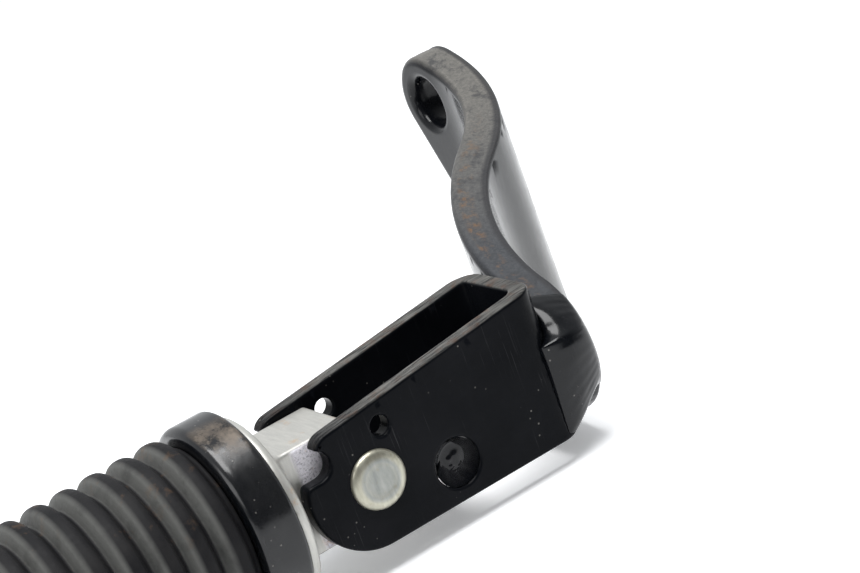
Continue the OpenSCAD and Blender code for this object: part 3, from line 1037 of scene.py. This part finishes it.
def build_split_pin():
    """A split pin through the pivot pin's tail: an eye, two legs together, then spread apart."""
    wire = SPLIT_WIRE_R
    eye_x, eye_r = -11, 2.1
    eye = [(eye_x + eye_r * math.cos(a), eye_r * math.sin(a)) for a in
           (math.radians(15 + 330 * i / 30) for i in range(31))]
    upper = [(8.0, 3.6), (6.6, 1.7), (5.6, 0.75), (4.6, wire), (-4.0, wire), (-8.2, wire)]
    lower = [(-8.2, -wire), (-4.0, -wire), (4.8, -wire), (5.7, -0.85), (6.6, -2.0), (7.6, -3.9)]
    shape = Shape()
    tube(shape, [(x, SPLIT_Y, z) for x, z in upper + eye + lower], wire)
    shape.piece("split_pin_wire", "bracket", "zinc_plate", "split_pin")


def build_stop_pin():
    """The plain bar between the two plug welds."""
    half, core = WALL_OUT - STRIP_T / 2 - 0.05, 0.7
    profile = [(-half, core - 0.1)]
    profile += rounded([(-half, core), (-half, STOP_R), (half, STOP_R), (half, core)], 0.6)
    profile += [(half, core - 0.1)]
    shape = Shape()
    lathe(shape, profile, on_stop(1), 96, closed=False)
    shape.piece("stop_pin_bar", "bracket", "weld_metal", "stop_pin")


def build_collar():
    """The ring between flange and rubber, rounded more on the rubber's side."""
    low, high, web = COLLAR_X, COLLAR_X + COLLAR_LEN, BOSS_R + 4
    low_round, high_round = 1.2, 2.2
    outer = [(low, web)] + arc((low + low_round, COLLAR_R - low_round), low_round, 180, 90, 0.2)
    outer += line((low + 1.8, COLLAR_R), (high - 2.6, COLLAR_R), 0.8)
    outer += arc((high - high_round, COLLAR_R - high_round), high_round, 90, 8, 0.25)
    outer += [(high, COLLAR_R - 3.0), (high, web), (high, BOSS_R), (low, BOSS_R)]
    shape = Shape()
    lathe(shape, outer, on_peg, 200)
    shape.piece("collar_shell", "peg", "black_collar", "collar_ring")


def build_rubber():
    """The grip: twelve ribs with flat crests, sloping flanks and rounded shoulders."""
    root = RIB_R - RIB_DEPTH
    start = RUBBER_X + RIB_GAP
    pitch = (RUBBER_END - start) / RIB_COUNT
    corners = [(RUBBER_X, SPINDLE_R), (RUBBER_X, root)]
    for rib in range(RIB_COUNT):
        for share, rise in ((0.05, 0), (0.27, 1), (0.72, 1), (0.95, 0)):
            corners.append((start + (rib + share) * pitch, root + rise * RIB_DEPTH))
    corners += [(RUBBER_END, root), (RUBBER_END, SPINDLE_R)]

    def uneven(along, radius, turn):
        spot = Vector((along * 0.12, math.cos(turn) * 1.5, math.sin(turn) * 1.5))
        return 0.10 * noise.noise(spot) - 0.08 if radius > root else 0.0

    shape = Shape()
    lathe(shape, rounded(corners, 1.25, 0.2), on_peg, 220, jitter=uneven)
    shape.piece("ribbed_grip", "peg", "rubber", "rubber_grip")


# ---- the cast core

def tongue_place(x, z, w):
    """A point of the tongue at depth share w, 0 on its near side and 1 on its far side."""
    return (x, TONGUE_W / 2 - TONGUE_W * w, z)


tongue_place.thick = lambda x, z: TONGUE_W


def neck_sections(shape):
    """A flared neck from the tongue to the flange, drawn as rounded rectangles."""
    flare, rows = 4.0, 12
    made = []
    for i in range(rows + 1):
        x = FLANGE_X - flare + (flare + 0.6) * i / rows
        grown = flare - math.sqrt(max(flare ** 2 - min(x - FLANGE_X + flare, flare) ** 2, 0))
        r = 1.2 + grown
        half = TONGUE_W / 2 + grown - r
        high, low = TONGUE_TOP + grown - r, -TONGUE_BOTTOM - grown + r
        corners = [((half, high), 0), ((-half, high), 90), ((-half, low), 180), ((half, low), 270)]
        section = []
        for centre, begin in corners:
            section += arc(centre, r, begin, begin + 90, r * math.pi / 16)[:9]
        made.append(shape.add([(x, y, z) for y, z in section]))
    shape.skin(made)


def build_core():
    """The tongue, its flared neck and the flange, fused and softened like a sand casting."""
    outline = loop(
        line((HEEL_X, -TONGUE_BOTTOM), (FLANGE_X + 1, -TONGUE_BOTTOM), 0.6),
        line((FLANGE_X + 1, -TONGUE_BOTTOM), (FLANGE_X + 1, TONGUE_TOP), 0.6),
        line((FLANGE_X + 1, TONGUE_TOP), (0, TONGUE_TOP), 0.6),
        line((0, TONGUE_TOP), (0, HEEL_R), 0.6),
        arc((0, 0), HEEL_R, 90, 180, 0.5),
        line((-HEEL_R, 0), (-HEEL_R, HEEL_TOP), 0.5),
        line((-HEEL_R, HEEL_TOP), (HEEL_X, HEEL_TOP), 0.5),
        line((HEEL_X, HEEL_TOP), (HEEL_X, -TONGUE_BOTTOM), 0.6),
    )
    shape = Shape()
    bore = arc((0, 0), BUSH_R, 0, 360, 0.4)[:-1]
    plate(shape, outline, [bore], tongue_place, (0.7, 0.7), grid=2.0, levels=14)
    neck_sections(shape)
    flange_round, flange_bore = 1.7, 4.0
    centre = (FLANGE_X + flange_round, FLANGE_R - flange_round)
    rim = [(FLANGE_X, flange_bore)] + arc(centre, flange_round, 180, 90, 0.2)
    rim += [(FLANGE_X + FLANGE_T, FLANGE_R), (FLANGE_X + FLANGE_T, flange_bore)]
    lathe(shape, rim, lambda along, side, up: on_peg(along, side, up - FLANGE_DROP), 180)
    thing = shape.object("core_tongue", MATERIALS["cast_aluminium"])
    voxel, smoothing, passes = 0.42, 0.5, 5
    remesh = thing.modifiers.new("fuse", "REMESH")
    remesh.mode = "VOXEL"
    remesh.voxel_size = voxel * MM
    soften_all = thing.modifiers.new("soften", "SMOOTH")
    soften_all.factor, soften_all.iterations = smoothing, passes
    graph = bpy.context.evaluated_depsgraph_get()
    fused = bpy.data.meshes.new_from_object(thing.evaluated_get(graph))
    thing.modifiers.clear()
    thing.data = fused
    thing.data.shade_smooth()
    thing.data.materials.clear()
    thing.data.materials.append(MATERIALS["cast_aluminium"])
    finish_piece(thing, "peg", "cast_aluminium", "peg_core")
    spindle = Shape()
    low, high, outer = FLANGE_X + FLANGE_T - 0.3, RUBBER_END - 0.2, SPINDLE_R - 0.02
    profile = [(low, CORE_BORE_R), (low, BOSS_R), (RUBBER_X, BOSS_R), (RUBBER_X, outer),
               (high - 0.5, outer), (high, SPINDLE_R - 0.5), (high, CORE_BORE_R)]
    lathe(spindle, profile, on_peg, 96)
    spindle.piece("core_spindle", "peg", "cast_aluminium")


# ---- the end fastening

def build_lock_washer():
    """A split spring washer, its two ends standing a little apart."""
    base, wide, mid = RUBBER_END + END_WASHER_T, 1.6, 5.7
    start_turn, sweep, rise, rows = 96, 348, 0.4, 110
    section = rounded([(0, mid), (0, LOCK_R), (wide, LOCK_R), (wide, LOCK_BORE_R),
                       (0, LOCK_BORE_R), (0, mid)], 0.25)[:-1]
    shape = Shape()
    made = []
    for i in range(rows + 1):
        turn = math.radians(start_turn + sweep * i / rows)
        lift = rise * i / rows
        made.append(shape.add([on_peg(base + along + lift, r * math.cos(turn), r * math.sin(turn))
                               for along, r in section]))
    shape.skin(made)
    shape.piece("spring_washer", "peg", "spring_steel", "lock_washer")


def build_bolt():
    """A hexagon bolt with a chamfered, slightly dished head."""
    low = RUBBER_END + END_WASHER_T + LOCK_WASHER_T
    top = low + BOLT_HEAD_H
    tip, tip_r, neck_r, dish = low - 8, 3.4, 5.9, 0.25
    segments = 180
    flat = BOLT_AF / 2
    turns = [2 * math.pi * k / segments for k in range(segments)]

    def hexagon(turn):
        return flat / math.cos(math.radians((math.degrees(turn) - 90) % 60 - 30))

    def shoulder(turn):
        return top - max(hexagon(turn) - flat * 0.95, 0) * math.tan(math.radians(30))

    def level(along, radius):
        return [(along, radius)] * segments

    rows = [
        level(tip, 0.5), level(tip, tip_r), level(tip + 0.6, BOLT_SHANK_R - 0.02),
        level(low, BOLT_SHANK_R), level(low, neck_r),
        [(low + 0.25, min(hexagon(t), flat + 0.25)) for t in turns],
        [(low + 0.6, hexagon(t) - 0.04) for t in turns],
        [(shoulder(t) - 0.15, hexagon(t)) for t in turns],
        [(shoulder(t) + 0.02, hexagon(t) - 0.15) for t in turns],
        level(top, flat * 0.93), level(top - 0.02, flat * 0.86),
        level(top - dish + 0.03, flat * 0.78), level(top - dish, 0.5),
    ]
    shape = Shape()
    shape.skin([shape.add([on_peg(a, r * math.cos(t), r * math.sin(t))
                           for (a, r), t in zip(row, turns)]) for row in rows])
    shape.piece("hex_bolt", "peg", "zinc_plate", "end_bolt")


# ---- pieces that keep their CAD shape

def dress_cad_nodes():
    """Gives every CAD node that still shows its procedural material."""
    slots = {s["node"]: s["material_slot"] for s in frame["record"]["subparts"]}
    for name, thing in frame["nodes"].items():
        thing.data.materials.clear()
        thing.data.materials.append(MATERIALS[slots[name]])


# ---- stage, light and camera

def build_stage():
    """A pale floor just under the part."""
    low, high = cad_bounds
    half, gap = 3.0, 0.0002
    mesh = bpy.data.meshes.new("floor")
    x, y, z = (low.x + high.x) / 2, (low.y + high.y) / 2, low.z - gap
    mesh.from_pydata([(x + a * half, y + b * half, z) for a, b in
                      ((-1, -1), (1, -1), (1, 1), (-1, 1))], [], [(0, 1, 2, 3)])
    n = Nodes("pale_floor")
    color = n.mix(n.ramp(n.noise(0.004, 3), 0.3, 0.7), *FLOOR)
    n.link(color, n.shader.inputs["Emission Color"])
    mesh.materials.append(n.finish(color, 0.6, 0.0, Emission_Strength=0.30))
    floor = new_object("floor", mesh)


def area_light(name, offset, size, power):
    """A soft white light at offset metres from the pivot, which it faces; power is in watts."""
    data = bpy.data.lights.new(name, "AREA")
    data.shape = "RECTANGLE"
    data.size, data.size_y = size
    data.energy = power
    light = new_object(name, data)
    light.location = PIVOT + Vector(offset)
    light.rotation_euler = (PIVOT - light.location).to_track_quat("-Z", "Y").to_euler()


def build_light():
    """A soft white room, darker on the +Y side, an overhead softbox and a weak one outboard."""
    world = bpy.data.worlds.new("studio")
    world.use_nodes = True
    tree = world.node_tree
    back = tree.nodes["Background"]
    coords = tree.nodes.new("ShaderNodeTexCoord")
    split = tree.nodes.new("ShaderNodeSeparateXYZ")
    tree.links.new(coords.outputs["Generated"], split.inputs[0])
    side = tree.nodes.new("ShaderNodeMapRange")
    for socket, value in (("From Min", -0.2), ("From Max", 0.7), ("To Min", 1.0), ("To Max", 0.09)):
        side.inputs[socket].default_value = value
    tree.links.new(split.outputs["Y"], side.inputs["Value"])
    tree.links.new(side.outputs["Result"], back.inputs["Strength"])
    back.inputs["Color"].default_value = (0.96, 0.98, 1.0, 1)
    bpy.context.scene.world = world
    area_light("overhead", (0.02, 0.1, 0.7), (0.46, 0.42), 7.2)
    area_light("outboard", (0.7, 0.15, 0.35), (0.5, 0.35), 1.6)


def build_camera():
    """The camera of the main view, from the +X +Y side and above."""
    data = bpy.data.cameras.new("camera")
    data.sensor_width = 36.0
    data.lens = 113.0
    camera = new_object("camera", data)
    camera.location = PIVOT + Vector((203.6, 492.5, 201.0)) * MM
    camera.rotation_euler = Euler([math.radians(a) for a in (71.19, 19.32, 147.88)])
    bpy.context.scene.camera = camera


build_camera()
dress_cad_nodes()
build_clevis()
build_arm()
build_near_weld()
build_far_weld()
build_stop_pin()
build_stop_weld(1, "stop_weld_near")
build_stop_weld(-1, "stop_weld_far")
build_pivot_pin()
ring("plain_washer", about_pin, -WALL_OUT - PIN_WASHER_T, -WALL_OUT, WASHER_BORE_R, WASHER_R, 0.35,
     "bracket", "zinc_plate", "pin_washer")
build_split_pin()
for side, node in ((1, "friction_washer_near"), (-1, "friction_washer_far")):
    wall = WALL_OUT - STRIP_T
    low, high = sorted((side * wall, side * (wall - FRICTION_WASHER_T)))
    ring(node + "_ring", about_pin, low, high, WASHER_BORE_R, WASHER_R, 0.15, "bracket",
         "spring_steel", node)
build_core()
ring("bush_near_tube", about_pin, BUSH_GAP / 2, TONGUE_W / 2, BUSH_BORE_R, BUSH_R, 0.3, "peg",
     "bronze", "pivot_bush_near")
ring("bush_far_tube", about_pin, -TONGUE_W / 2, -BUSH_GAP / 2, BUSH_BORE_R, BUSH_R, 0.3, "peg",
     "bronze", "pivot_bush_far")
build_collar()
build_rubber()
ring("end_plate", on_peg, RUBBER_END, RUBBER_END + END_WASHER_T, END_WASHER_BORE_R, END_WASHER_R,
     0.6, "peg", "zinc_plate", "end_washer", 160)
build_lock_washer()
build_bolt()
build_stage()
build_light()
bpy.context.scene.view_settings.view_transform = "Standard"
